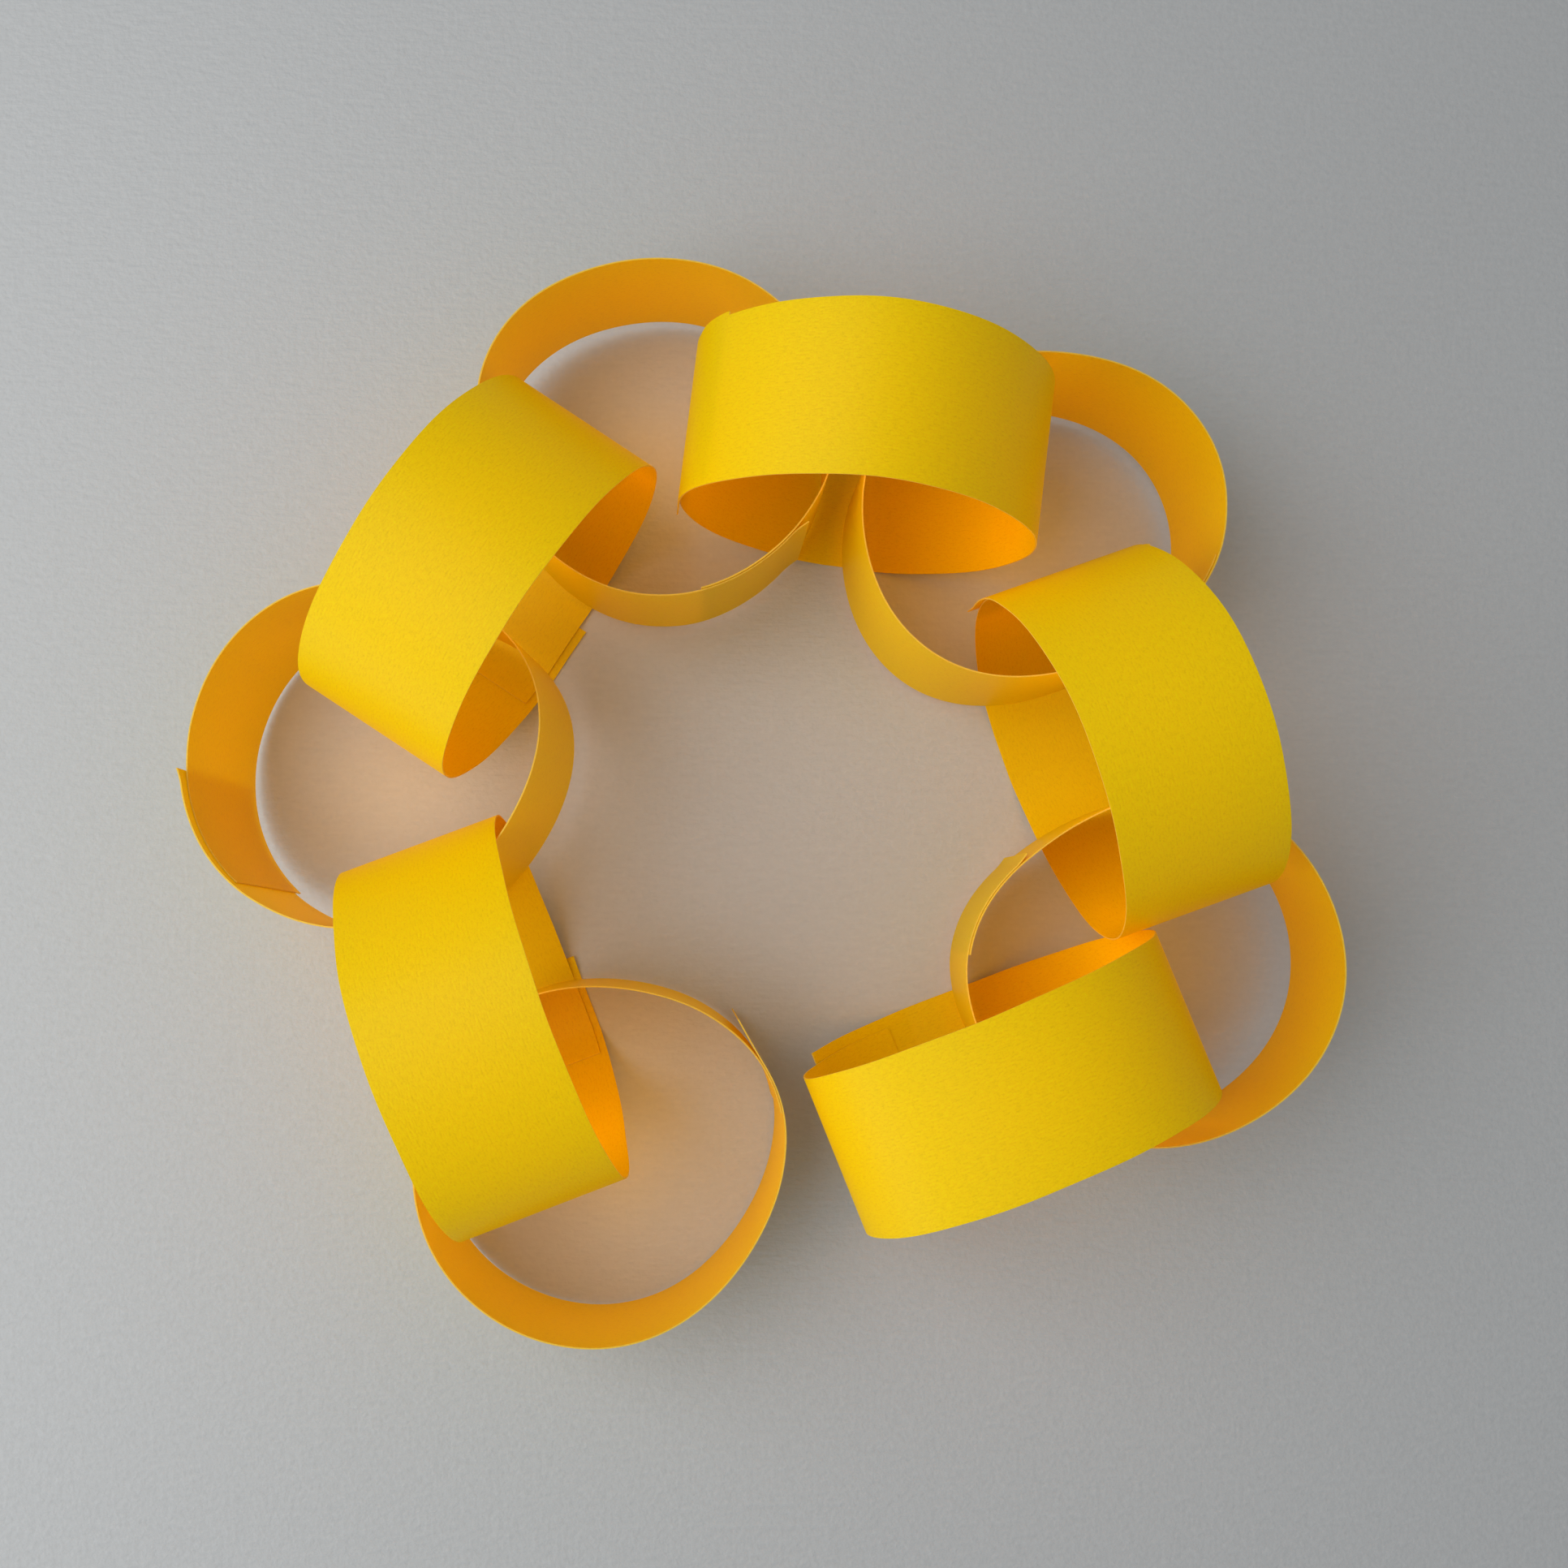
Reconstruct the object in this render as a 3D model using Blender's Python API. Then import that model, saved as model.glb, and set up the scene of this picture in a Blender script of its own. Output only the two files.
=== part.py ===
"""Paper chain garland: ten lapped and glued paper loops, five standing on edge and five lying across them.

Metres, +Z up. The origin lies under the middle of the garland, on the surface it rests on.
"""

import itertools
from dataclasses import dataclass

import bmesh
import bpy
import numpy as np

MM = 0.001

# Every loop is bent from the same flat strip.
STRIP_LENGTH = 210 * MM
STRIP_WIDTH = 28 * MM
PAPER = 0.25 * MM

# The lap where a strip's two ends are glued over each other.
GLUE_FILM = 0.06 * MM
GLUE_MARGIN = 2.0 * MM
LOOSE_INNER_END = 1.5 * MM
LAP_RAMP = 9 * MM

# How the loops stand on the table and in each other.
FLAT_DEPTH = 0.4 * MM
REST_GAP = 0.3 * MM

# How finely a loop is cut into flat facets.
LAP_FACETS = 6
MAIN_FACETS = 44
OUTLINE_POINTS = 720

YELLOW = (0.93, 0.66, 0.0, 1.0)
PAPER_ROUGHNESS = 0.85


@dataclass(frozen=True)
class Loop:
    """One strip bent to a loop.

    pull and bearing place the loop's centre from the one before it: pull is the distance as a share
    of the mean of both diameters, bearing the direction in degrees.
    lap is the length glued over, lap_at the angle of the outer end in the loop's own plane, and
    winding the way the strip runs round (+1 or -1) to that outer end.
    skew is how far the outer end stands to one side of the inner one. The last stretch of the outer
    end, tip_length long, is unglued and stands off by tip_lift.
    oval, egg and square bend the outline away from a circle: each a share of the radius and the
    direction in degrees in which the loop is drawn out, in two, three and four lobes.
    """

    name: str
    bearing: float
    pull: float
    lap: float
    lap_at: float
    winding: int
    skew: float
    tip_length: float
    tip_lift: float
    oval: tuple
    egg: tuple
    square: tuple
    lean: tuple = (0.0, 0.0)

    @property
    def perimeter(self):
        return STRIP_LENGTH - self.lap

    @property
    def diameter(self):
        return self.perimeter / np.pi


@dataclass(frozen=True)
class Ring(Loop):
    """A loop that stands on its lower edge. lean is how far its upper edge is pushed over, x and y."""


@dataclass(frozen=True)
class Arch(Loop):
    """A loop that lies on its outer face, open to the front and the back.

    facing is the direction of its axis, out of the chain's circle. lean[0] is how far the crown is
    pushed over along that axis.
    """

    facing: float = 0.0


CHAIN = (
    Ring("end_ring", 0, 0.0, 17 * MM, 45, 1, 0.5 * MM, 9 * MM, 2.0 * MM,
         oval=(0.024, 24), egg=(0.019, 22), square=(0.010, 25), lean=(1.0 * MM, 1.1 * MM)),
    Arch("arch_lower_left", 128.5, 0.49, 19 * MM, 260, -1, -1.5 * MM, 3 * MM, 0.4 * MM,
         oval=(0.057, 20), egg=(0.025, -60), square=(0.031, 22), lean=(-0.7 * MM, 0.0), facing=-159.5),
    Ring("ring_left", 112.0, 0.79, 22 * MM, 186, -1, 2.3 * MM, 3 * MM, 0.5 * MM,
         oval=(0.023, 28), egg=(0.021, 22), square=(0.013, 25), lean=(0.2 * MM, 0.2 * MM)),
    Arch("arch_upper_left", 61.5, 0.60, 18 * MM, 262, -1, -1.7 * MM, 4 * MM, 0.5 * MM,
         oval=(0.062, 13), egg=(0.017, -38), square=(0.011, 32), lean=(0.6 * MM, 0.0), facing=146.5),
    Ring("ring_top", 42.0, 0.64, 22 * MM, 327, 1, -0.5 * MM, 4 * MM, 0.8 * MM,
         oval=(0.022, -8), egg=(0.018, 32), square=(0.008, -15), lean=(-0.3 * MM, 0.3 * MM)),
    Arch("arch_top", 353.0, 0.62, 21 * MM, 352, -1, -1.0 * MM, 5 * MM, 0.8 * MM,
         oval=(0.015, 6), egg=(0.008, -3), square=(0.012, 5), lean=(2.7 * MM, 0.0), facing=83),
    Ring("ring_upper_right", 340.0, 0.52, 20 * MM, 308, -1, 0.8 * MM, 3 * MM, 0.2 * MM,
         oval=(0.056, 11), egg=(0.023, 9), square=(0.010, -39), lean=(2.1 * MM, 1.5 * MM)),
    Arch("arch_right", 288.5, 0.665, 17 * MM, 338, -1, -1.3 * MM, 6 * MM, 1.2 * MM,
         oval=(0.036, -44), egg=(0.024, -54), square=(0.007, -7), lean=(2.1 * MM, 0.0), facing=19.5),
    Ring("ring_right", 281.0, 0.66, 20 * MM, 138, -1, -0.9 * MM, 3 * MM, 0.5 * MM,
         oval=(0.044, 23), egg=(0.020, -57), square=(0.012, -11), lean=(1.2 * MM, 0.8 * MM)),
    Arch("end_arch", 216.0, 0.545, 20 * MM, 207, -1, -2.3 * MM, 3 * MM, 0.4 * MM,
         oval=(0.075, 21), egg=(0.021, 24), square=(0.005, -40), lean=(-2.4 * MM, 0.0), facing=-68),
)


def clear_scene():
    for obj in list(bpy.data.objects):
        bpy.data.objects.remove(obj, do_unlink=True)


def smoothstep(x):
    x = np.clip(x, 0.0, 1.0)
    return x * x * (3.0 - 2.0 * x)


def outline(loop):
    """The loop's middle line: radius 1 plus a cosine for each of two, three and four lobes, scaled
    to the loop's perimeter. Returns angles, points and the length run from angle 0, closed."""
    angle = np.linspace(0.0, 2.0 * np.pi, OUTLINE_POINTS + 1)
    radius = np.ones_like(angle)
    for lobes, (share, towards) in enumerate((loop.oval, loop.egg, loop.square), start=2):
        radius += share * np.cos(lobes * (angle - np.radians(towards)))
    points = radius[:, None] * np.stack([np.cos(angle), np.sin(angle)], 1)
    steps = np.linalg.norm(np.diff(points, axis=0), axis=1)
    scale = loop.perimeter / steps.sum()
    run = np.concatenate([[0.0], np.cumsum(steps)]) * scale
    return angle, points * scale, run


def stations(loop):
    """Distances along the strip at which it is cut into facets, the same in both lapped layers."""
    glued_end = loop.lap - loop.tip_length
    in_lap = np.concatenate([[0.0], np.linspace(LOOSE_INNER_END, glued_end, LAP_FACETS - 1), [loop.lap]])
    main = np.linspace(loop.lap, loop.perimeter, MAIN_FACETS + 1)
    return np.concatenate([in_lap, main[1:-1], in_lap + loop.perimeter])


def along_strip(loop, distance):
    """Middle-line points and outward normals of the strip, bent round so its outer end is at lap_at."""
    angle, points, run = outline(loop)
    tip = np.interp(np.radians(loop.lap_at % 360), angle, run)
    where = (tip + loop.winding * (distance - STRIP_LENGTH)) % loop.perimeter
    x = np.interp(where, run, points[:, 0])
    y = np.interp(where, run, points[:, 1])
    tangent = np.gradient(points, run, axis=0)
    tangent[0] = tangent[-1] = tangent[0] + tangent[-1]
    tx = np.interp(where, run, tangent[:, 0])
    ty = np.interp(where, run, tangent[:, 1])
    length = np.hypot(tx, ty)
    return np.stack([x, y], 1), np.stack([ty / length, -tx / length], 1)


def section(loop, distance, flat=False):
    """Inner and outer face of the strip in the loop's plane.

    In the lap the inner layer steps in and the outer one steps out by half a layer, easing back
    over LAP_RAMP. The unglued tip curls off as the square of the distance past the glue. A loop
    that lies on its face is pressed flat underneath, layer on layer.
    """
    points, normal = along_strip(loop, distance)
    layer = PAPER + GLUE_FILM
    inner = 1.0 - smoothstep((distance - loop.lap) / LAP_RAMP)
    outer = smoothstep((distance - loop.perimeter + LAP_RAMP) / LAP_RAMP)
    past_glue = np.clip((distance - STRIP_LENGTH + loop.tip_length) / loop.tip_length, 0.0, 1.0)
    offset = 0.5 * layer * (outer - inner) + loop.tip_lift * past_glue ** 2
    inside = points + normal * (offset - 0.5 * PAPER)[:, None]
    outside = points + normal * (offset + 0.5 * PAPER)[:, None]
    if flat:
        floor = outline(loop)[1][:, 1].min() - 0.5 * PAPER + FLAT_DEPTH
        raised = layer * inner
        inside[:, 1] = np.maximum(inside[:, 1], floor + raised + PAPER)
        outside[:, 1] = np.maximum(outside[:, 1], floor + raised)
        inside[:, 1] -= floor
        outside[:, 1] -= floor
    return inside, outside


def sideways(loop, distance):
    """How far the strip has drifted to one side there, as its ends are lapped a little askew."""
    return loop.skew * (distance / STRIP_LENGTH - 0.5)


def link_solid(loop, flat=False):
    """Corner points (plane x, plane y, across) and faces of one closed solid.

    Each station has four corners: inner and outer face, low and high edge. Between the two lapped
    layers the glued patch joins them: there the facing sides are cut away and walls bridge the film.
    """
    distance = stations(loop)
    inside, outside = section(loop, distance, flat)
    drift = sideways(loop, distance)
    count = len(distance)
    half = 0.5 * STRIP_WIDTH
    rows = [
        np.column_stack([inside, drift - half]),
        np.column_stack([inside, drift + half]),
        np.column_stack([outside, drift - half]),
        np.column_stack([outside, drift + half]),
    ]
    points = np.concatenate(rows)
    in_low, in_high, out_low, out_high = (np.arange(count) + k * count for k in range(4))

    first_outer = count - 1 - LAP_FACETS
    glued = np.arange(1, LAP_FACETS)
    patch_low = -half + GLUE_MARGIN
    patch_high = half - GLUE_MARGIN
    extra = []
    for face, stretch in ((outside, glued), (inside, glued + first_outer)):
        for edge in (patch_low, patch_high):
            extra.append(np.column_stack([face[stretch], np.full(len(stretch), edge)]))
    base = 4 * count
    own_low, own_high, far_low, far_high = (base + k * len(glued) + np.arange(len(glued)) for k in range(4))
    points = np.concatenate([points, *extra])

    faces = []
    for i in range(count - 1):
        j = i + 1
        faces.append([in_low[i], out_low[i], out_low[j], in_low[j]])
        faces.append([in_high[i], in_high[j], out_high[j], out_high[i]])
        if i < LAP_FACETS:
            faces += facing_side(out_low, out_high, own_low, own_high, i, i)
        else:
            faces.append([out_low[i], out_high[i], out_high[j], out_low[j]])
        if i >= first_outer:
            faces += facing_side(in_low, in_high, far_low, far_high, i, i - first_outer)
        else:
            faces.append([in_low[i], in_low[j], in_high[j], in_high[i]])
    for k in range(len(glued) - 1):
        faces.append([own_low[k], own_low[k + 1], far_low[k + 1], far_low[k]])
        faces.append([own_high[k], own_high[k + 1], far_high[k + 1], far_high[k]])
    for k in (0, -1):
        faces.append([own_low[k], own_high[k], far_high[k], far_low[k]])
    for k in (0, -1):
        faces.append([in_low[k], in_high[k], out_high[k], out_low[k]])
    return points, [[int(v) for v in face] for face in faces]


def facing_side(low, high, patch_low, patch_high, i, k):
    """Faces of one facet of a side that looks at the other layer: whole before and after the glue,
    two margins beside it. Station i of the strip is station k of the lap."""
    j = i + 1
    if k == 0:
        return [[low[i], high[i], high[j], patch_high[0], patch_low[0], low[j]]]
    if k == LAP_FACETS - 1:
        return [[low[j], high[j], high[i], patch_high[-1], patch_low[-1], low[i]]]
    return [
        [low[i], patch_low[k - 1], patch_low[k], low[j]],
        [high[i], patch_high[k - 1], patch_high[k], high[j]],
    ]


def centres():
    """Plan position of each loop's centre, walking along the chain."""
    place = np.zeros(2)
    found = [place]
    for before, loop in zip(CHAIN, CHAIN[1:]):
        step = loop.pull * 0.5 * (before.diameter + loop.diameter)
        heading = np.radians(loop.bearing)
        place = place + step * np.array([np.cos(heading), np.sin(heading)])
        found.append(place)
    return found


def arch_axes(arch):
    facing = np.radians(arch.facing)
    axis = np.array([np.cos(facing), np.sin(facing), 0.0])
    side = np.array([-axis[1], axis[0], 0.0])
    return axis, side


def place_arch(arch, centre, points):
    """Plane x goes sideways, plane y up and the strip's width along the axis, which leans with height."""
    axis, side = arch_axes(arch)
    up = points[:, 1]
    along = points[:, 2] + arch.lean[0] * up / arch.diameter
    placed = points[:, :1] * side + along[:, None] * axis
    placed[:, 2] += up
    placed[:, :2] += centre
    return placed


def height_needed(xy, arches):
    """How high a ring's lower edge has to be over each plan point: just clear of the table, or of
    the inner face of an arch's lower half where it passes over one."""
    need = np.full(len(xy), REST_GAP)
    for arch, centre in arches:
        axis, side = arch_axes(arch)
        inside, _ = section(arch, stations(arch), flat=True)
        low = inside[inside[:, 1] < 0.5 * arch.diameter]
        low = low[np.argsort(low[:, 0])]
        across = (xy - centre) @ side[:2]
        along = (xy - centre) @ axis[:2]
        over = (np.abs(along) < 0.5 * STRIP_WIDTH + abs(arch.skew)) & (np.abs(across) < 0.48 * arch.diameter)
        wall = PAPER + REST_GAP
        floor = np.maximum(
            np.interp(across - wall, low[:, 0], low[:, 1]), np.interp(across + wall, low[:, 0], low[:, 1])
        )
        need[over] = np.maximum(need[over], floor[over] + REST_GAP)
    return need


def resting_plane(xy, need):
    """The plane a + b x + c y that lies on or over every needed height and is lowest at the middle:
    it touches three of them, so every three are tried."""
    terms = np.column_stack([np.ones(len(xy)), xy])
    triples = np.array(list(itertools.combinations(range(len(xy)), 3)))
    corner = terms[triples]
    wide = np.abs(np.linalg.det(corner)) > (0.05 * STRIP_WIDTH) ** 2
    planes = np.linalg.solve(corner[wide], need[triples[wide]][..., None])[..., 0]
    holds = (planes @ terms.T >= need - 0.001 * MM).all(axis=1)
    planes = planes[holds]
    return planes[planes[:, 0].argmin()]


def tilt_matrix(slope_x, slope_y):
    """Turns +Z to the normal of a plane with these slopes, by the shortest way."""
    normal = np.array([-slope_x, -slope_y, 1.0])
    normal /= np.linalg.norm(normal)
    cross = np.array([-normal[1], normal[0], 0.0])
    skewed = np.array([[0, -cross[2], cross[1]], [cross[2], 0, -cross[0]], [-cross[1], cross[0], 0]])
    return np.eye(3) + skewed + skewed @ skewed / (1.0 + normal[2])


def place_ring(ring, centre, points, arches):
    """Stands the ring as a stiff hoop on whatever its lower edge meets first."""
    half = 0.5 * STRIP_WIDTH
    lifted = points + [0.0, 0.0, half]
    lifted[:, :2] += np.outer(lifted[:, 2] / STRIP_WIDTH - 0.5, ring.lean)
    edge = lifted[points[:, 2] < -half + GLUE_MARGIN]
    need = height_needed(edge[:, :2] + centre, arches) - edge[:, 2]
    every = slice(None, None, 2)
    height, slope_x, slope_y = resting_plane(edge[every, :2], need[every])
    placed = lifted @ tilt_matrix(slope_x, slope_y).T
    placed[:, :2] += centre
    lower = placed[points[:, 2] < -half + GLUE_MARGIN]
    placed[:, 2] += (height_needed(lower[:, :2], arches) - lower[:, 2]).max()
    return placed


def paper_material():
    material = bpy.data.materials.new("yellow_paper")
    material.use_nodes = True
    shader = material.node_tree.nodes["Principled BSDF"]
    shader.inputs["Base Color"].default_value = YELLOW
    shader.inputs["Roughness"].default_value = PAPER_ROUGHNESS
    shader.inputs["Metallic"].default_value = 0.0
    return material


def add_object(name, points, faces, material):
    mesh = bpy.data.meshes.new(name)
    mesh.from_pydata([tuple(point) for point in points], [], faces)
    shape = bmesh.new()
    shape.from_mesh(mesh)
    bmesh.ops.recalc_face_normals(shape, faces=shape.faces)
    shape.to_mesh(mesh)
    shape.free()
    mesh.materials.append(material)
    obj = bpy.data.objects.new(name, mesh)
    bpy.context.scene.collection.objects.link(obj)
    return obj


def placed_loops():
    """Each loop with its corner points and faces, where it rests, centred over the origin."""
    solids = [link_solid(loop, flat=isinstance(loop, Arch)) for loop in CHAIN]
    middles = centres()
    placed = []
    for i, loop in enumerate(CHAIN):
        points = solids[i][0]
        if isinstance(loop, Arch):
            placed.append(place_arch(loop, middles[i], points))
            continue
        beside = [k for k in (i - 1, i + 1) if 0 <= k < len(CHAIN)]
        arches = [(CHAIN[k], middles[k]) for k in beside]
        placed.append(place_ring(loop, middles[i], points, arches))
    everything = np.concatenate(placed)
    middle = 0.5 * (everything.min(axis=0) + everything.max(axis=0))
    middle[2] = 0.0
    return [(loop, points - middle, faces) for loop, points, (_, faces) in zip(CHAIN, placed, solids)]


def build():
    clear_scene()
    for loop, points, faces in placed_loops():
        add_object(loop.name, points, faces, paper_material())


if __name__ == "__main__":
    build()
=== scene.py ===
"""Paper chain garland: the looks of ten lapped and glued loops of yellow paper on a pale table.

Metres, +Z up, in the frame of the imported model. Laid out as an add-on and run as a script.
"""

import itertools
from dataclasses import dataclass

import bpy
import numpy as np
from mathutils import Matrix, Vector


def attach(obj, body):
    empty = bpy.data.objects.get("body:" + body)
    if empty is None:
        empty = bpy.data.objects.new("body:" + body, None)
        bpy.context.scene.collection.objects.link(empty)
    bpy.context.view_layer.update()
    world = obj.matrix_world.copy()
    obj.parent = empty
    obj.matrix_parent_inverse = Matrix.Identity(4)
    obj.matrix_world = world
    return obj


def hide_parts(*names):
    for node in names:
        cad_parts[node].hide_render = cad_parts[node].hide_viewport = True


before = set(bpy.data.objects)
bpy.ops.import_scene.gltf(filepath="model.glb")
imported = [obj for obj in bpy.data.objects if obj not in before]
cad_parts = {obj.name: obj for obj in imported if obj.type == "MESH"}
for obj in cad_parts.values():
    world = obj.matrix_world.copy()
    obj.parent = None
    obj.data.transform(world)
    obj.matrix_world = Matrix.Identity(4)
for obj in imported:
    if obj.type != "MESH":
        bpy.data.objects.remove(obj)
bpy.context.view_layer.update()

bl_info = {
    "name": "Paper chain garland",
    "version": (1, 0, 0),
    "blender": (4, 5, 0),
    "location": "3D View > Sidebar > Garland",
    "description": "Bends ten paper strips to a chain of lapped loops, with their paper and a table",
    "category": "Object",
}

MM = 0.001

# How the loops stand on the table and in each other.
FLAT_DEPTH = 0.4 * MM
REST_GAP = 0.3 * MM
REST_SLACK = 0.001 * MM
RESTING_EDGE = 2.0 * MM

# Three resting points span a plane if twice their triangle's area is over the square of this share
# of the strip's width. An arch's lower half is a floor this far out, as a share of its diameter.
LEAST_SPAN = 0.05
FLOOR_REACH = 0.48

# How a lapped end lies: the ease back to one layer, and the loose stretch of the inner end.
LAP_RAMP = 9 * MM
LOOSE_INNER_END = 1.5 * MM

# The loop's middle line, and the coarse facets that the rings' resting place is worked out on.
OUTLINE_POINTS = 720
LAP_FACETS = 6
MAIN_FACETS = 44

# The fine surface: spacing along the strip, columns across it, the least angle in degrees that is
# shaded as an edge, and the numbers of its three materials: outer face, inner face with painted glow, cut
# edge.
FINE_STEP = 0.5 * MM
COLUMNS = 15
SHARP_EDGE = 50
OUTER, INNER, CUT = 0, 1, 2

# How far a hand-cut edge wavers, and over what lengths.
EDGE_WAVER = 0.08 * MM
LONG_WAVE = 47 * MM
SHORT_WAVE = 19 * MM

# The camera of the photograph, whose lens looks through the picture's middle: focal length in
# pixels, sensor width in millimetres, and the world's turns to the camera's axes in degrees.
PHOTO_PIXELS = 1932
FOCAL_PIXELS = 1857.3
SENSOR_WIDTH = 36.0
CAMERA_PLACE = (-4.41 * MM, -11.98 * MM, 286.17 * MM)
CAMERA_TILT_X = -3.172
CAMERA_TILT_Y = 1.798

# The grain: how much the fibres' coordinates are shrunk along X, which draws them out, and how many
# finer layers the speckle and the fibres have.
FIBRE_STRETCH = (0.3, 1.0, 1.0)
SPECKLE_DETAIL = 3.0
FIBRE_DETAIL = 2.0

# The paper's relief in depth, and its specular level.
PAPER_RELIEF = 0.02 * MM
PAPER_GLOSS = 0.18

# The table: a square just under the garland, and its paint's mottling, relief in depth, roughness
# and specular level.
TABLE_SIDE = 3.0
TABLE_GAP = 0.02 * MM
TABLE_MOTTLING = 0.1
TABLE_RELIEF = 0.12 * MM
TABLE_ROUGHNESS = 0.55
TABLE_GLOSS = 0.3

# The lights: colours of the daylight and of the room, and how high up an arch its bounce light is,
# as a share of the arch's diameter.
DAYLIGHT = (1.0, 0.995, 0.985)
ROOM_COLOUR = (0.97, 0.99, 1.0, 1.0)
BOUNCE_HEIGHT = 0.62


@dataclass(frozen=True)
class Loop:
    """One strip bent to a loop.

    pull and bearing place the loop's centre from the one before it: pull is the distance as a share
    of the mean of both diameters, bearing the direction in degrees.
    lap is the length glued over, lap_at the angle of the outer end in the loop's own plane, and
    winding the way the strip runs round (+1 or -1) to that outer end.
    skew is how far the outer end stands to one side of the inner one. The last stretch of the outer
    end, tip_length long, is unglued and stands off by tip_lift.
    oval, egg and square bend the outline away from a circle: each a share of the radius and the
    direction in degrees in which the loop is drawn out, in two, three and four lobes.
    """

    name: str
    bearing: float
    pull: float
    lap: float
    lap_at: float
    winding: int
    skew: float
    tip_length: float
    tip_lift: float
    oval: tuple
    egg: tuple
    square: tuple
    lean: tuple = (0.0, 0.0)

    def perimeter(self, strip):
        return strip.length - self.lap

    def diameter(self, strip):
        return self.perimeter(strip) / np.pi


@dataclass(frozen=True)
class Ring(Loop):
    """A loop that stands on its lower edge. lean is how far its upper edge is pushed over, x and y."""


@dataclass(frozen=True)
class Arch(Loop):
    """A loop that lies on its outer face, open to the front and the back.

    facing is the direction of its axis, out of the chain's circle. lean[0] is how far the crown is
    pushed over along that axis.
    """

    facing: float = 0.0


# The ten loops, from one end of the chain to the other.
CHAIN = (
    Ring("end_ring", 0, 0.0, 17 * MM, 45, 1, 0.5 * MM, 9 * MM, 2.0 * MM,
         oval=(0.024, 24), egg=(0.019, 22), square=(0.010, 25), lean=(1.0 * MM, 1.1 * MM)),
    Arch("arch_lower_left", 128.5, 0.49, 19 * MM, 260, -1, -1.5 * MM, 3 * MM, 0.4 * MM,
         oval=(0.057, 20), egg=(0.025, -60), square=(0.031, 22), lean=(-0.7 * MM, 0.0), facing=-159.5),
    Ring("ring_left", 112.0, 0.79, 22 * MM, 186, -1, 2.3 * MM, 3 * MM, 0.5 * MM,
         oval=(0.023, 28), egg=(0.021, 22), square=(0.013, 25), lean=(0.2 * MM, 0.2 * MM)),
    Arch("arch_upper_left", 61.5, 0.60, 18 * MM, 262, -1, -1.7 * MM, 4 * MM, 0.5 * MM,
         oval=(0.062, 13), egg=(0.017, -38), square=(0.011, 32), lean=(0.6 * MM, 0.0), facing=146.5),
    Ring("ring_top", 42.0, 0.64, 22 * MM, 327, 1, -0.5 * MM, 4 * MM, 0.8 * MM,
         oval=(0.022, -8), egg=(0.018, 32), square=(0.008, -15), lean=(-0.3 * MM, 0.3 * MM)),
    Arch("arch_top", 353.0, 0.62, 21 * MM, 352, -1, -1.0 * MM, 5 * MM, 0.8 * MM,
         oval=(0.015, 6), egg=(0.008, -3), square=(0.012, 5), lean=(2.7 * MM, 0.0), facing=83),
    Ring("ring_upper_right", 340.0, 0.52, 20 * MM, 308, -1, 0.8 * MM, 3 * MM, 0.2 * MM,
         oval=(0.056, 11), egg=(0.023, 9), square=(0.010, -39), lean=(2.1 * MM, 1.5 * MM)),
    Arch("arch_right", 288.5, 0.665, 17 * MM, 338, -1, -1.3 * MM, 6 * MM, 1.2 * MM,
         oval=(0.036, -44), egg=(0.024, -54), square=(0.007, -7), lean=(2.1 * MM, 0.0), facing=19.5),
    Ring("ring_right", 281.0, 0.66, 20 * MM, 138, -1, -0.9 * MM, 3 * MM, 0.5 * MM,
         oval=(0.044, 23), egg=(0.020, -57), square=(0.012, -11), lean=(1.2 * MM, 0.8 * MM)),
    Arch("end_arch", 216.0, 0.545, 20 * MM, 207, -1, -2.3 * MM, 3 * MM, 0.4 * MM,
         oval=(0.075, 21), egg=(0.021, 24), square=(0.005, -40), lean=(-2.4 * MM, 0.0), facing=-68),
)


class StripSettings(bpy.types.PropertyGroup):
    """The flat strip that every loop is bent from."""

    length: bpy.props.FloatProperty(
        name="Length", description="Length of one flat strip", default=210 * MM, unit="LENGTH")
    width: bpy.props.FloatProperty(
        name="Width", description="Width of one flat strip", default=28 * MM, unit="LENGTH")
    paper: bpy.props.FloatProperty(
        name="Paper", description="Thickness of the paper", default=0.25 * MM, unit="LENGTH")
    film: bpy.props.FloatProperty(
        name="Glue film", description="Thickness of the glue in a lap", default=0.06 * MM, unit="LENGTH")


class FinishSettings(bpy.types.PropertyGroup):
    """Colour and surface of the paper; the inner faces' deeper orange is painted glow."""

    face_colour: bpy.props.FloatVectorProperty(
        name="Paper colour", description="Colour of the dyed paper", default=(1.0, 0.82, 0.0),
        subtype="COLOR", min=0.0, max=1.0)
    # Painted glow: the inner face is the same paper as the outer one, made a deeper orange for the warm
    # light that the loop throws back and forth and lets through.
    painted_glow_inner_colour: bpy.props.FloatVectorProperty(
        name="Inner face colour", description="Deeper colour of the face inside the loops",
        default=(1.0, 0.70, 0.0), subtype="COLOR", min=0.0, max=1.0)
    glow_colour: bpy.props.FloatVectorProperty(
        name="Glow colour", description="Colour that the paper gives light passing through it",
        default=(1.0, 0.75, 0.0), subtype="COLOR", min=0.0, max=1.0)
    edge_colour: bpy.props.FloatVectorProperty(
        name="Cut edge colour", description="Paler colour of the freshly cut edges",
        default=(0.98, 0.76, 0.10), subtype="COLOR", min=0.0, max=1.0)
    roughness: bpy.props.FloatProperty(
        name="Roughness", description="Roughness of the uncoated paper", default=0.45, subtype="FACTOR")
    translucency: bpy.props.FloatProperty(
        name="Translucency", description="Share of the light that passes each face", default=0.36,
        subtype="FACTOR")
    grain_size: bpy.props.FloatProperty(
        name="Grain size", description="Width of the mottling of the fibres", default=0.32 * MM,
        unit="LENGTH")
    grain_contrast: bpy.props.FloatProperty(
        name="Grain contrast", description="How strongly the mottling shows", default=0.4, subtype="FACTOR")


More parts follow.
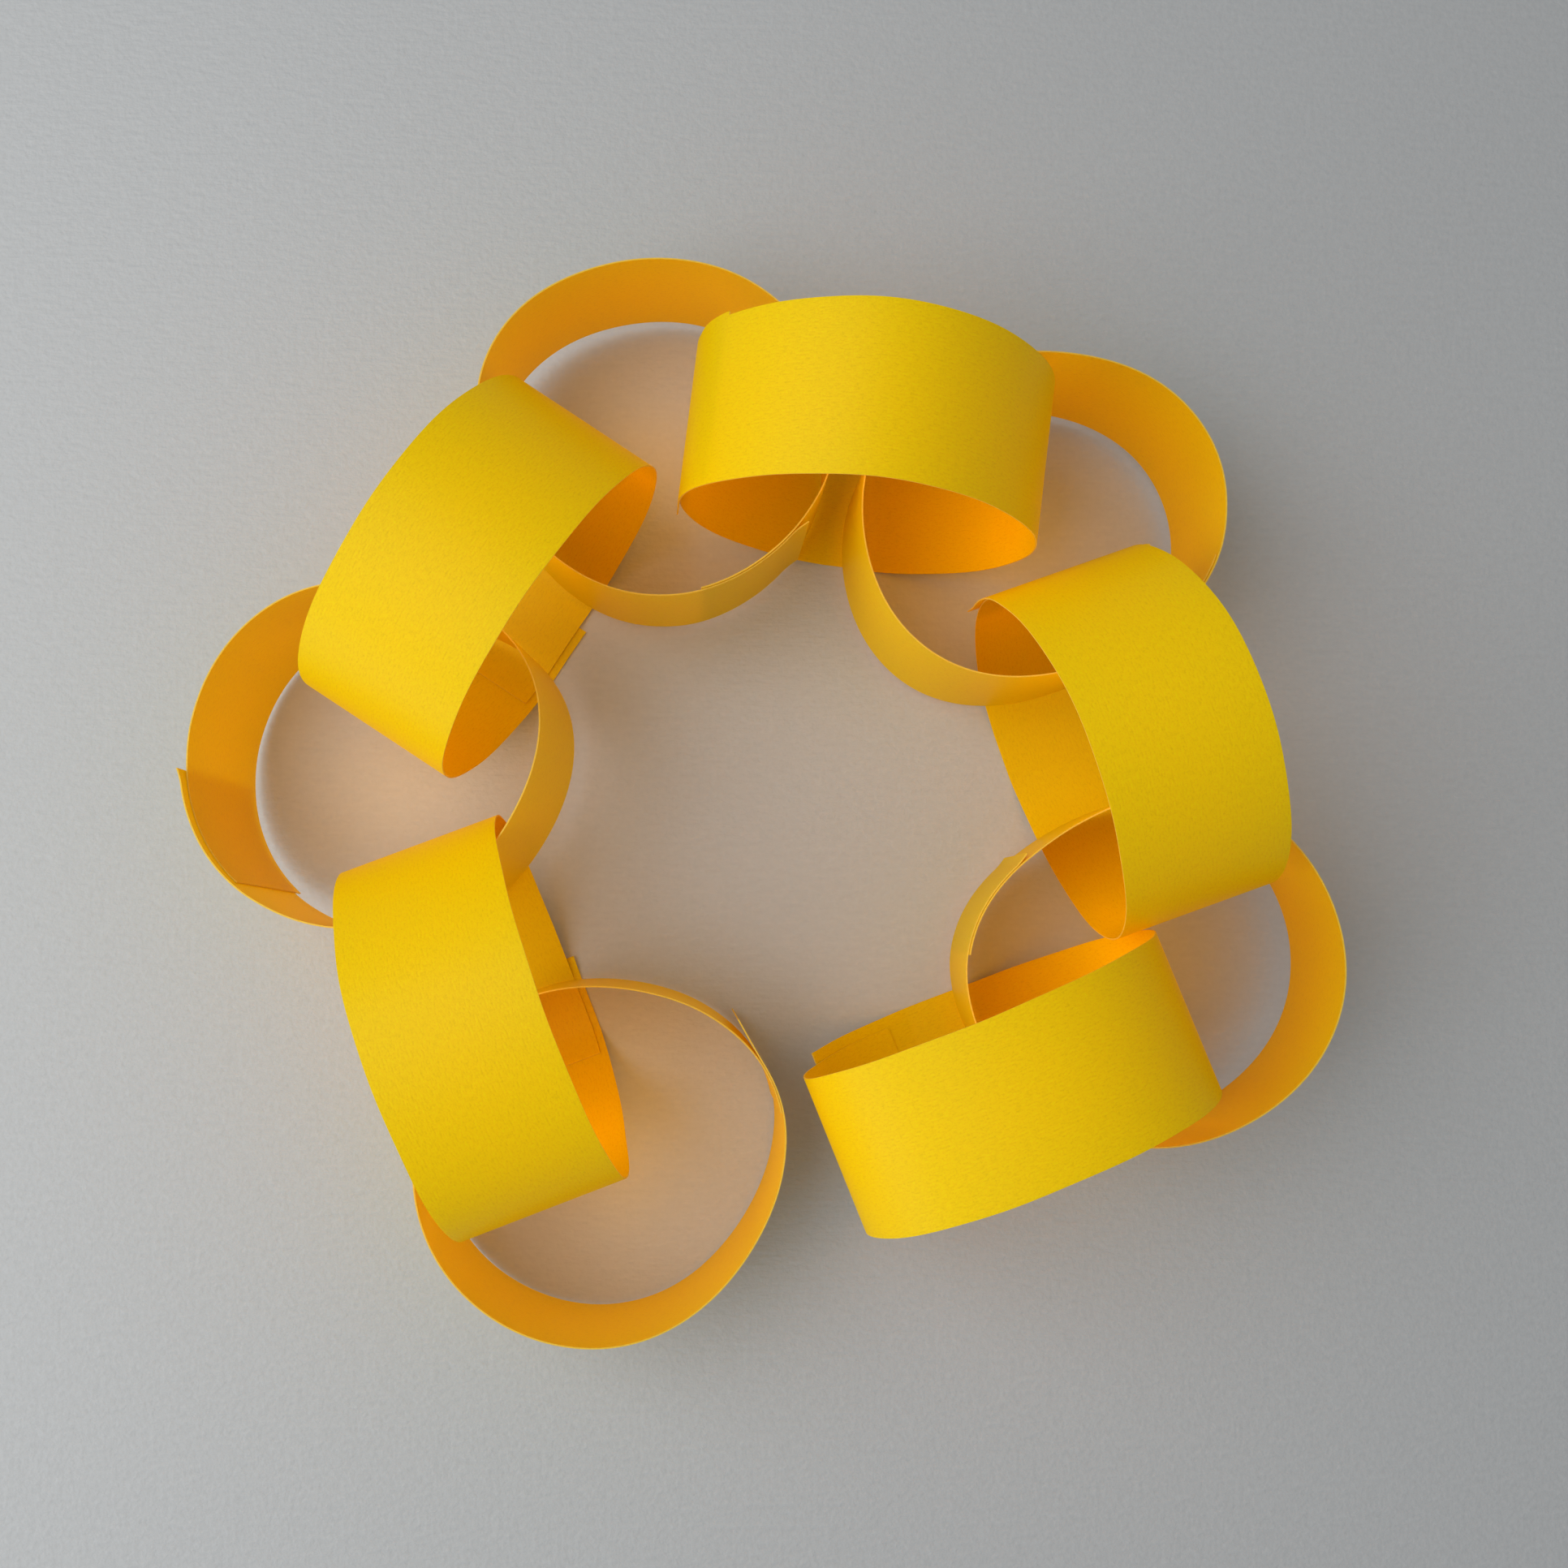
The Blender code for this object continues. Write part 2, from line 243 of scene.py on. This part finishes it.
class StageSettings(bpy.types.PropertyGroup):
    """The table under the garland and the light on it."""

    table_colour: bpy.props.FloatVectorProperty(
        name="Table colour", description="Colour of the table top", default=(0.505, 0.52, 0.53),
        subtype="COLOR", min=0.0, max=1.0)
    peel_size: bpy.props.FloatProperty(
        name="Peel size", description="Width of the fine bumps in the table's paint", default=1.0 * MM,
        unit="LENGTH")
    window_power: bpy.props.FloatProperty(
        name="Window power", description="Power of the soft light from the left", default=2.35,
        subtype="POWER")
    window_side: bpy.props.FloatProperty(
        name="Window side", description="Side of the soft light", default=0.6, unit="LENGTH")
    window_place: bpy.props.FloatVectorProperty(
        name="Window place", description="Middle of the soft light", default=(-0.36, 0.03, 0.46),
        subtype="XYZ", unit="LENGTH")
    low_power: bpy.props.FloatProperty(
        name="Low light power", description="Power of the low light from the near left", default=0.6,
        subtype="POWER")
    low_side: bpy.props.FloatProperty(
        name="Low light side", description="Side of the low light", default=0.3, unit="LENGTH")
    low_place: bpy.props.FloatVectorProperty(
        name="Low light place", description="Middle of the low light", default=(-0.45, -0.33, 0.12),
        subtype="XYZ", unit="LENGTH")
    bounce_power: bpy.props.FloatProperty(
        name="Bounce power", description="Power of the warm light gathered inside each loop", default=0.0092,
        subtype="POWER")
    bounce_radius: bpy.props.FloatProperty(
        name="Bounce radius", description="Radius of the warm light inside each loop", default=14 * MM,
        unit="LENGTH")
    bounce_colour: bpy.props.FloatVectorProperty(
        name="Bounce colour", description="Colour of light that the paper has reflected a few times",
        default=(1.0, 0.45, 0.0), subtype="COLOR", min=0.0, max=1.0)
    room_strength: bpy.props.FloatProperty(
        name="Room light", description="Strength of the light from all round", default=0.34)


def smoothstep(x):
    """Eases from 0 to 1: three x squared less two x cubed."""
    x = np.clip(x, 0.0, 1.0)
    return x * x * (3.0 - 2.0 * x)


def outline(loop, strip):
    """The loop's middle line: radius 1 plus a cosine for each of two, three and four lobes, scaled
    to the loop's perimeter. Returns the angles, the points and the length run from angle 0; the
    last of each closes the loop."""
    angle = np.linspace(0.0, 2.0 * np.pi, OUTLINE_POINTS + 1)
    radius = np.ones_like(angle)
    for lobes, (share, towards) in enumerate((loop.oval, loop.egg, loop.square), start=2):
        radius += share * np.cos(lobes * (angle - np.radians(towards)))
    points = radius[:, None] * np.stack([np.cos(angle), np.sin(angle)], 1)
    steps = np.linalg.norm(np.diff(points, axis=0), axis=1)
    scale = loop.perimeter(strip) / steps.sum()
    run = np.concatenate([[0.0], np.cumsum(steps)]) * scale
    return angle, points * scale, run


def coarse_stations(loop, strip):
    """Distances along the strip of the solid's facets, the same in both lapped layers."""
    perimeter = loop.perimeter(strip)
    glued_end = loop.lap - loop.tip_length
    in_lap = np.concatenate([[0.0], np.linspace(LOOSE_INNER_END, glued_end, LAP_FACETS - 1), [loop.lap]])
    main = np.linspace(loop.lap, perimeter, MAIN_FACETS + 1)
    return np.concatenate([in_lap, main[1:-1], in_lap + perimeter])


def along_strip(loop, strip, distance):
    """Middle-line points and outward normals of the strip, bent round so its outer end is at lap_at."""
    angle, points, run = outline(loop, strip)
    tip = np.interp(np.radians(loop.lap_at % 360), angle, run)
    where = (tip + loop.winding * (distance - strip.length)) % loop.perimeter(strip)
    x = np.interp(where, run, points[:, 0])
    y = np.interp(where, run, points[:, 1])
    tangent = np.gradient(points, run, axis=0)
    tangent[0] = tangent[-1] = tangent[0] + tangent[-1]
    tx = np.interp(where, run, tangent[:, 0])
    ty = np.interp(where, run, tangent[:, 1])
    length = np.hypot(tx, ty)
    return np.stack([x, y], 1), np.stack([ty / length, -tx / length], 1)


def section(loop, strip, distance):
    """Inner and outer face of the strip in the loop's plane.

    In the lap the inner layer steps in and the outer one steps out by half a layer, easing back
    over LAP_RAMP. The unglued tip curls off as the square of the distance past the glue. A loop
    that lies on its face is pressed flat underneath, layer on layer.
    """
    points, normal = along_strip(loop, strip, distance)
    layer = strip.paper + strip.film
    inner = 1.0 - smoothstep((distance - loop.lap) / LAP_RAMP)
    outer = smoothstep((distance - loop.perimeter(strip) + LAP_RAMP) / LAP_RAMP)
    past_glue = np.clip((distance - strip.length + loop.tip_length) / loop.tip_length, 0.0, 1.0)
    offset = 0.5 * layer * (outer - inner) + loop.tip_lift * past_glue ** 2
    inside = points + normal * (offset - 0.5 * strip.paper)[:, None]
    outside = points + normal * (offset + 0.5 * strip.paper)[:, None]
    if isinstance(loop, Arch):
        floor = outline(loop, strip)[1][:, 1].min() - 0.5 * strip.paper + FLAT_DEPTH
        raised = layer * inner
        inside[:, 1] = np.maximum(inside[:, 1], floor + raised + strip.paper) - floor
        outside[:, 1] = np.maximum(outside[:, 1], floor + raised) - floor
    return inside, outside


def sideways(loop, strip, distance):
    """How far the strip has drifted to one side there, as its ends are lapped a little askew."""
    return loop.skew * (distance / strip.length - 0.5)


def corners(loop, strip):
    """The coarse strip's four corners at each station: plane x, plane y and across."""
    distance = coarse_stations(loop, strip)
    drift = sideways(loop, strip, distance)
    half = 0.5 * strip.width
    faces = section(loop, strip, distance)
    return np.concatenate([
        np.column_stack([face, drift + side * half]) for face in faces for side in (-1, 1)
    ])


def centres(strip):
    """Plan position of each loop's centre, walking along the chain."""
    place = np.zeros(2)
    found = [place]
    for before, loop in zip(CHAIN, CHAIN[1:]):
        step = loop.pull * 0.5 * (before.diameter(strip) + loop.diameter(strip))
        heading = np.radians(loop.bearing)
        place = place + step * np.array([np.cos(heading), np.sin(heading)])
        found.append(place)
    return found


def arch_axes(arch):
    """An arch's axis and its sideways direction, both level."""
    facing = np.radians(arch.facing)
    axis = np.array([np.cos(facing), np.sin(facing), 0.0])
    return axis, np.array([-axis[1], axis[0], 0.0])


def arch_placement(arch, strip, centre):
    """Plane x goes sideways, plane y up and the strip's width along the axis, which leans with
    height. Returns the matrix with those three columns, and the move."""
    axis, side = arch_axes(arch)
    up = np.array([0.0, 0.0, 1.0]) + axis * arch.lean[0] / arch.diameter(strip)
    return np.column_stack([side, up, axis]), np.append(centre, 0.0)


def height_needed(strip, xy, arches):
    """How high a ring's lower edge has to be over each plan point: just clear of the table, or of
    the inner face of an arch's lower half where it passes over one."""
    need = np.full(len(xy), REST_GAP)
    wall = strip.paper + REST_GAP
    for arch, centre in arches:
        axis, side = arch_axes(arch)
        diameter = arch.diameter(strip)
        inside, _ = section(arch, strip, coarse_stations(arch, strip))
        low = inside[inside[:, 1] < 0.5 * diameter]
        low = low[np.argsort(low[:, 0])]
        across = (xy - centre) @ side[:2]
        along = (xy - centre) @ axis[:2]
        within_width = np.abs(along) < 0.5 * strip.width + abs(arch.skew)
        over = within_width & (np.abs(across) < FLOOR_REACH * diameter)
        floor = np.maximum(
            np.interp(across - wall, low[:, 0], low[:, 1]), np.interp(across + wall, low[:, 0], low[:, 1])
        )
        need[over] = np.maximum(need[over], floor[over] + REST_GAP)
    return need


def resting_plane(strip, xy, need):
    """The plane a + b x + c y that lies on or over every needed height and is lowest at the middle:
    it touches three of them, so every three are tried. Returns a, b and c."""
    terms = np.column_stack([np.ones(len(xy)), xy])
    triples = np.array(list(itertools.combinations(range(len(xy)), 3)))
    corner = terms[triples]
    wide = np.abs(np.linalg.det(corner)) > (LEAST_SPAN * strip.width) ** 2
    planes = np.linalg.solve(corner[wide], need[triples[wide]][..., None])[..., 0]
    holds = (planes @ terms.T >= need - REST_SLACK).all(axis=1)
    planes = planes[holds]
    return planes[planes[:, 0].argmin()]


def tilt_matrix(slope_x, slope_y):
    """Turns +Z to the normal of a plane with these slopes, by the shortest way."""
    normal = np.array([-slope_x, -slope_y, 1.0])
    normal /= np.linalg.norm(normal)
    cross = np.array([-normal[1], normal[0], 0.0])
    skewed = np.array([[0, -cross[2], cross[1]], [cross[2], 0, -cross[0]], [-cross[1], cross[0], 0]])
    return np.eye(3) + skewed + skewed @ skewed / (1.0 + normal[2])


def ring_placement(ring, strip, centre, arches):
    """Stands the ring as a stiff hoop on whatever its lower edge meets first: leaned, tilted to the
    resting plane, and raised until it is just clear. Returns the matrix and the move."""
    half = 0.5 * strip.width
    leaned = np.eye(3)
    leaned[:2, 2] = np.array(ring.lean) / strip.width
    points = corners(ring, strip)
    lower = points[:, 2] < -half + RESTING_EDGE
    shift = np.append(-0.5 * np.array(ring.lean), 0.0)
    standing = (points + [0.0, 0.0, half]) @ leaned.T + shift
    edge = standing[lower]
    need = height_needed(strip, edge[:, :2] + centre, arches) - edge[:, 2]
    every_other = slice(None, None, 2)
    _, slope_x, slope_y = resting_plane(strip, edge[every_other, :2], need[every_other])
    tilt = tilt_matrix(slope_x, slope_y)
    placed = edge @ tilt.T
    placed[:, :2] += centre
    lift = (height_needed(strip, placed[:, :2], arches) - placed[:, 2]).max()
    matrix = tilt @ leaned
    move = tilt @ (leaned @ [0.0, 0.0, half] + shift) + np.append(centre, lift)
    return matrix, move


def placements(strip):
    """The matrix and move of each loop, with the garland's plan box centred over the origin."""
    middles = centres(strip)
    found = []
    for i, loop in enumerate(CHAIN):
        if isinstance(loop, Arch):
            found.append(arch_placement(loop, strip, middles[i]))
            continue
        beside = [k for k in (i - 1, i + 1) if 0 <= k < len(CHAIN)]
        found.append(ring_placement(loop, strip, middles[i], [(CHAIN[k], middles[k]) for k in beside]))
    everything = np.concatenate([
        corners(loop, strip) @ matrix.T + move for loop, (matrix, move) in zip(CHAIN, found)
    ])
    middle = 0.5 * (everything.min(axis=0) + everything.max(axis=0))
    middle[2] = 0.0
    return [(matrix, move - middle) for matrix, move in found]


def edge_waver(loop, distance, side):
    """How far a hand-cut edge strays: a long and a short sine wave, started by the loop's lap."""
    start = np.radians(loop.lap_at) * (2 + side)
    long_wave = np.sin(2.0 * np.pi * distance / LONG_WAVE + start)
    short_wave = np.sin(2.0 * np.pi * distance / SHORT_WAVE + 2.0 * start)
    return EDGE_WAVER * (long_wave + 0.5 * short_wave)


def strip_grid(loop, strip):
    """The strip's surface as a closed profile carried along its length: up the outer face, over one
    cut edge, down the inner face and back. Returns points, stations by places round the profile,
    and each one's flat coordinates as shares of the strip's length and of the way round."""
    steps = int(round(strip.length / FINE_STEP))
    distance = np.linspace(0.0, strip.length, steps + 1)
    inside, outside = section(loop, strip, distance)
    share = np.linspace(0.0, 1.0, COLUMNS)
    low = -0.5 * strip.width + edge_waver(loop, distance, -1)
    high = 0.5 * strip.width + edge_waver(loop, distance, 1)
    across = low[:, None] + (high - low)[:, None] * share + sideways(loop, strip, distance)[:, None]
    outer = np.concatenate([np.repeat(outside[:, None], COLUMNS, axis=1), across[..., None]], axis=2)
    inner = np.concatenate([np.repeat(inside[:, None], COLUMNS, axis=1), across[..., None]], axis=2)
    round_way = 2.0 * (strip.width + strip.paper)
    up_way = share * strip.width
    down_way = strip.width + strip.paper + up_way
    way = np.concatenate([up_way, down_way, [round_way]]) / round_way
    return np.concatenate([outer, inner[:, ::-1]], axis=1), distance / strip.length, way


def strip_faces(stations, around):
    """Quads between neighbouring stations all round the profile, then a cap of quads on each end.
    Returns vertex numbers, the station and place of each corner, and each quad's finish."""
    half = around // 2
    station, place = np.meshgrid(np.arange(stations - 1), np.arange(around), indexing="ij")
    along = np.stack([station, station, station + 1, station + 1], -1).reshape(-1, 4)
    rounds = np.stack([place, place + 1, place + 1, place], -1).reshape(-1, 4)
    kind = np.where(place % half == half - 1, CUT, np.where(place < half, OUTER, INNER)).reshape(-1)
    k = np.arange(half - 1)
    first = np.stack([k + 1, k, around - 1 - k, around - 2 - k], -1)
    last = first[:, [1, 0, 3, 2]]
    along = np.concatenate([along, np.zeros_like(first), np.full_like(last, stations - 1)])
    rounds = np.concatenate([rounds, first, last])
    kind = np.concatenate([kind, np.full(2 * len(k), CUT)])
    return along * around + rounds % around, along, rounds, kind


def signed_volume(points, faces):
    """Six times the volume inside the quads, negative where they face inwards."""
    a, b, c, d = (points[faces[:, k]] for k in range(4))
    return (a * (np.cross(b, c) + np.cross(c, d))).sum()


def strip_mesh(loop, strip, matrix, move):
    """The loop's mesh in place, with its flat coordinates as a UV map."""
    grid, lengthways, way = strip_grid(loop, strip)
    stations, around = grid.shape[:2]
    points = grid.reshape(-1, 3) @ matrix.T + move
    faces, along, rounds, kind = strip_faces(stations, around)
    uv = np.stack([lengthways[along], way[rounds]], -1)
    if signed_volume(points, faces) < 0:
        faces = faces[:, ::-1]
        uv = uv[:, ::-1]
    mesh = bpy.data.meshes.new(loop.name + "_strip")
    mesh.vertices.add(len(points))
    mesh.vertices.foreach_set("co", points.astype(np.float32).ravel())
    mesh.loops.add(faces.size)
    mesh.loops.foreach_set("vertex_index", faces.astype(np.int32).ravel())
    mesh.polygons.add(len(faces))
    mesh.polygons.foreach_set("loop_start", np.arange(0, faces.size, 4, dtype=np.int32))
    mesh.polygons.foreach_set("material_index", kind.astype(np.int32))
    layer = mesh.uv_layers.new(name="flat_strip")
    layer.data.foreach_set("uv", uv.astype(np.float32).ravel())
    mesh.update(calc_edges=True)
    mesh.shade_smooth()
    mesh.set_sharp_from_angle(angle=np.radians(SHARP_EDGE))
    return mesh


def bend_loops(scene, kind):
    """Makes the pieces for all loops of one kind, each in place of its CAD node."""
    strip = scene.garland_strip
    finish = scene.garland_finish
    papers = [
        paper_material("paper_outer_face", finish.face_colour, strip, finish),
        # The inner face gets painted glow: a deeper orange standing in for the light thrown back and forth
        # inside the loop and let through it.
        paper_material("paper_inner_painted_glow", finish.painted_glow_inner_colour, strip, finish),
        paper_material("paper_cut_edge", finish.edge_colour, strip, finish),
    ]
    for loop, (matrix, move) in zip(CHAIN, placements(strip)):
        if not isinstance(loop, kind):
            continue
        mesh = strip_mesh(loop, strip, matrix, move)
        for paper in papers:
            mesh.materials.append(paper)
        piece = bpy.data.objects.new(loop.name + "_strip", mesh)
        scene.collection.objects.link(piece)
        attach(piece, "root")
        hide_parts(loop.name)


def fine_grain_group():
    """Mottles a colour with two noises, one of them drawn out along X as pressed fibres lie. The
    colour's value is 1 plus Contrast times how far the noises' sum is from its middle."""
    group = bpy.data.node_groups.get("fine_grain")
    if group:
        return group
    group = bpy.data.node_groups.new("fine_grain", "ShaderNodeTree")
    sockets = group.interface
    sockets.new_socket("Vector", in_out="INPUT", socket_type="NodeSocketVector")
    sockets.new_socket("Colour", in_out="INPUT", socket_type="NodeSocketColor")
    sockets.new_socket("Grains", in_out="INPUT", socket_type="NodeSocketFloat")
    sockets.new_socket("Contrast", in_out="INPUT", socket_type="NodeSocketFloat")
    sockets.new_socket("Colour", in_out="OUTPUT", socket_type="NodeSocketColor")
    sockets.new_socket("Height", in_out="OUTPUT", socket_type="NodeSocketFloat")
    nodes = group.nodes
    links = group.links
    given = nodes.new("NodeGroupInput")
    result = nodes.new("NodeGroupOutput")
    speckle = nodes.new("ShaderNodeTexNoise")
    speckle.inputs["Detail"].default_value = SPECKLE_DETAIL
    fibres = nodes.new("ShaderNodeTexNoise")
    fibres.inputs["Detail"].default_value = FIBRE_DETAIL
    drawn_out = nodes.new("ShaderNodeMapping")
    drawn_out.inputs["Scale"].default_value = FIBRE_STRETCH
    total = nodes.new("ShaderNodeMath")
    total.operation = "ADD"
    centred = nodes.new("ShaderNodeMath")
    centred.operation = "SUBTRACT"
    centred.inputs[1].default_value = 1.0
    scaled = nodes.new("ShaderNodeMath")
    scaled.operation = "MULTIPLY_ADD"
    scaled.inputs[2].default_value = 1.0
    shade = nodes.new("ShaderNodeHueSaturation")
    links.new(given.outputs["Vector"], speckle.inputs["Vector"])
    links.new(given.outputs["Vector"], drawn_out.inputs["Vector"])
    links.new(drawn_out.outputs["Vector"], fibres.inputs["Vector"])
    links.new(given.outputs["Grains"], speckle.inputs["Scale"])
    links.new(given.outputs["Grains"], fibres.inputs["Scale"])
    links.new(speckle.outputs["Fac"], total.inputs[0])
    links.new(fibres.outputs["Fac"], total.inputs[1])
    links.new(total.outputs["Value"], centred.inputs[0])
    links.new(centred.outputs["Value"], scaled.inputs[0])
    links.new(given.outputs["Contrast"], scaled.inputs[1])
    links.new(scaled.outputs["Value"], shade.inputs["Value"])
    links.new(given.outputs["Colour"], shade.inputs["Color"])
    links.new(shade.outputs["Color"], result.inputs["Colour"])
    links.new(total.outputs["Value"], result.inputs["Height"])
    return group


def grained_material(name, colour, grains, contrast, depth):
    """A Principled material whose colour and bump come from fine_grain. Returns the material, its
    shader and the Vector input that the pattern's coordinates go to."""
    material = bpy.data.materials.new(name)
    material.use_nodes = True
    tree = material.node_tree
    shader = tree.nodes["Principled BSDF"]
    grain = tree.nodes.new("ShaderNodeGroup")
    grain.node_tree = fine_grain_group()
    grain.inputs["Colour"].default_value = (*colour, 1.0)
    grain.inputs["Grains"].default_value = grains
    grain.inputs["Contrast"].default_value = contrast
    bump = tree.nodes.new("ShaderNodeBump")
    bump.inputs["Strength"].default_value = 1.0
    bump.inputs["Distance"].default_value = depth
    tree.links.new(grain.outputs["Colour"], shader.inputs["Base Color"])
    tree.links.new(grain.outputs["Height"], bump.inputs["Height"])
    tree.links.new(bump.outputs["Normal"], shader.inputs["Normal"])
    return material, shader, grain.inputs["Vector"]


def paper_material(name, colour, strip, finish):
    """Uncoated dyed paper: mottled fibres on the flat strip, and a share of the light that passes
    through each face and comes out redder, because the dye stops blue at once and green before red."""
    known = bpy.data.materials.get(name)
    if known:
        return known
    grains = strip.width / finish.grain_size
    material, shader, vector = grained_material(name, colour, grains, finish.grain_contrast, PAPER_RELIEF)
    shader.inputs["Roughness"].default_value = finish.roughness
    shader.inputs["Specular IOR Level"].default_value = PAPER_GLOSS
    tree = material.node_tree
    through = tree.nodes.new("ShaderNodeBsdfTranslucent")
    through.inputs["Color"].default_value = (*finish.glow_colour, 1.0)
    both = tree.nodes.new("ShaderNodeMixShader")
    both.inputs["Fac"].default_value = finish.translucency
    tree.links.new(shader.outputs["BSDF"], both.inputs[1])
    tree.links.new(through.outputs["BSDF"], both.inputs[2])
    tree.links.new(both.outputs["Shader"], tree.nodes["Material Output"].inputs["Surface"])
    flat = tree.nodes.new("ShaderNodeUVMap")
    flat.uv_map = "flat_strip"
    in_widths = tree.nodes.new("ShaderNodeMapping")
    in_widths.inputs["Scale"].default_value = (strip.length / strip.width, 2.0, 1.0)
    tree.links.new(flat.outputs["UV"], in_widths.inputs["Vector"])
    tree.links.new(in_widths.outputs["Vector"], vector)
    return material


def table_material(stage):
    """Pale matt paint with a fine orange-peel surface, on the table's own coordinates."""
    material, shader, vector = grained_material(
        "table_paint", stage.table_colour, 1.0 / stage.peel_size, TABLE_MOTTLING, TABLE_RELIEF)
    shader.inputs["Roughness"].default_value = TABLE_ROUGHNESS
    shader.inputs["Specular IOR Level"].default_value = TABLE_GLOSS
    coordinates = material.node_tree.nodes.new("ShaderNodeTexCoord")
    material.node_tree.links.new(coordinates.outputs["Object"], vector)
    return material


def lay_table(scene, stage):
    """One wide level quad just under the garland."""
    half = 0.5 * TABLE_SIDE
    mesh = bpy.data.meshes.new("table_top")
    plan = ((-half, -half), (half, -half), (half, half), (-half, half))
    mesh.from_pydata([(x, y, -TABLE_GAP) for x, y in plan], [], [(0, 1, 2, 3)])
    mesh.materials.append(table_material(stage))
    table = bpy.data.objects.new("table_top", mesh)
    scene.collection.objects.link(table)


def add_area_light(scene, name, place, side, power):
    """A soft square light turned to the origin."""
    light = bpy.data.lights.new(name, "AREA")
    light.energy = power
    light.size = side
    light.color = DAYLIGHT
    lamp = bpy.data.objects.new(name, light)
    lamp.location = place
    lamp.rotation_euler = (-Vector(place)).to_track_quat("-Z", "Y").to_euler()
    scene.collection.objects.link(lamp)


def add_bounce_light(scene, stage, loop, middle):
    """A small warm ball of light inside a loop, out of the camera's sight: the light that the strip
    has thrown back and forth and let through."""
    light = bpy.data.lights.new(loop.name + "_bounce", "POINT")
    light.energy = stage.bounce_power
    light.shadow_soft_size = stage.bounce_radius
    light.color = stage.bounce_colour
    lamp = bpy.data.objects.new(light.name, light)
    lamp.location = middle
    lamp.visible_camera = False
    lamp.visible_glossy = False
    scene.collection.objects.link(lamp)


def light_stage(scene, stage):
    """A window to the left, a low light to the near left, the warm light that gathers inside each
    loop, and an even room light."""
    add_area_light(scene, "window_light", stage.window_place, stage.window_side, stage.window_power)
    add_area_light(scene, "low_light", stage.low_place, stage.low_side, stage.low_power)
    strip = scene.garland_strip
    for loop, (matrix, move) in zip(CHAIN, placements(strip)):
        rise = BOUNCE_HEIGHT * loop.diameter(strip) if isinstance(loop, Arch) else 0.0
        add_bounce_light(scene, stage, loop, matrix @ [0.0, rise, 0.0] + move)
    world = bpy.data.worlds.new("room")
    world.use_nodes = True
    background = world.node_tree.nodes["Background"]
    background.inputs["Color"].default_value = ROOM_COLOUR
    background.inputs["Strength"].default_value = stage.room_strength
    scene.world = world
    scene.view_settings.view_transform = "Standard"


def place_camera(scene):
    """The photograph's camera, looking down: the world is turned about X and then about Y to its
    axes, so its own turn is the reverse of that."""
    lens = bpy.data.cameras.new("photo_camera")
    lens.sensor_fit = "HORIZONTAL"
    lens.sensor_width = SENSOR_WIDTH
    lens.lens = SENSOR_WIDTH * FOCAL_PIXELS / PHOTO_PIXELS
    lens.clip_start = 0.01
    camera = bpy.data.objects.new("photo_camera", lens)
    about_x = Matrix.Rotation(np.radians(CAMERA_TILT_X), 3, "X")
    about_y = Matrix.Rotation(np.radians(CAMERA_TILT_Y), 3, "Y")
    to_camera = about_y @ about_x
    camera.matrix_world = Matrix.Translation(CAMERA_PLACE) @ to_camera.transposed().to_4x4()
    scene.collection.objects.link(camera)
    scene.camera = camera


class GARLAND_OT_rings(bpy.types.Operator):
    """Bend the strips that stand on edge"""

    bl_idname = "garland.rings"
    bl_label = "Standing loops"

    def execute(self, context):
        bend_loops(context.scene, Ring)
        return {"FINISHED"}


class GARLAND_OT_arches(bpy.types.Operator):
    """Bend the strips that lie on their face"""

    bl_idname = "garland.arches"
    bl_label = "Lying loops"

    def execute(self, context):
        bend_loops(context.scene, Arch)
        return {"FINISHED"}


class GARLAND_OT_stage(bpy.types.Operator):
    """Lay the table, light it and place the camera"""

    bl_idname = "garland.stage"
    bl_label = "Table, light and camera"

    def execute(self, context):
        stage = context.scene.garland_stage
        lay_table(context.scene, stage)
        light_stage(context.scene, stage)
        place_camera(context.scene)
        return {"FINISHED"}


class GARLAND_PT_sidebar(bpy.types.Panel):
    """The garland's sizes, colours and steps"""

    bl_idname = "GARLAND_PT_sidebar"
    bl_label = "Paper chain garland"
    bl_space_type = "VIEW_3D"
    bl_region_type = "UI"
    bl_category = "Garland"

    def draw(self, context):
        scene = context.scene
        for title, settings in (
            ("Strip", scene.garland_strip), ("Paper", scene.garland_finish), ("Stage", scene.garland_stage),
        ):
            box = self.layout.box()
            box.label(text=title)
            for name in type(settings).__annotations__:
                box.prop(settings, name)
        for step in STEPS:
            self.layout.operator(step.bl_idname)


SETTINGS = {"garland_strip": StripSettings, "garland_finish": FinishSettings, "garland_stage": StageSettings}
STEPS = (GARLAND_OT_rings, GARLAND_OT_arches, GARLAND_OT_stage)


def register():
    for group in SETTINGS.values():
        bpy.utils.register_class(group)
    for name, group in SETTINGS.items():
        setattr(bpy.types.Scene, name, bpy.props.PointerProperty(type=group))
    for step in STEPS:
        bpy.utils.register_class(step)
    bpy.utils.register_class(GARLAND_PT_sidebar)


def unregister():
    bpy.utils.unregister_class(GARLAND_PT_sidebar)
    for step in reversed(STEPS):
        bpy.utils.unregister_class(step)
    for name in SETTINGS:
        delattr(bpy.types.Scene, name)
    for group in SETTINGS.values():
        bpy.utils.unregister_class(group)


def main():
    register()
    bpy.ops.garland.rings()
    bpy.ops.garland.arches()
    bpy.ops.garland.stage()
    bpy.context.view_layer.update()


if __name__ == "__main__":
    main()
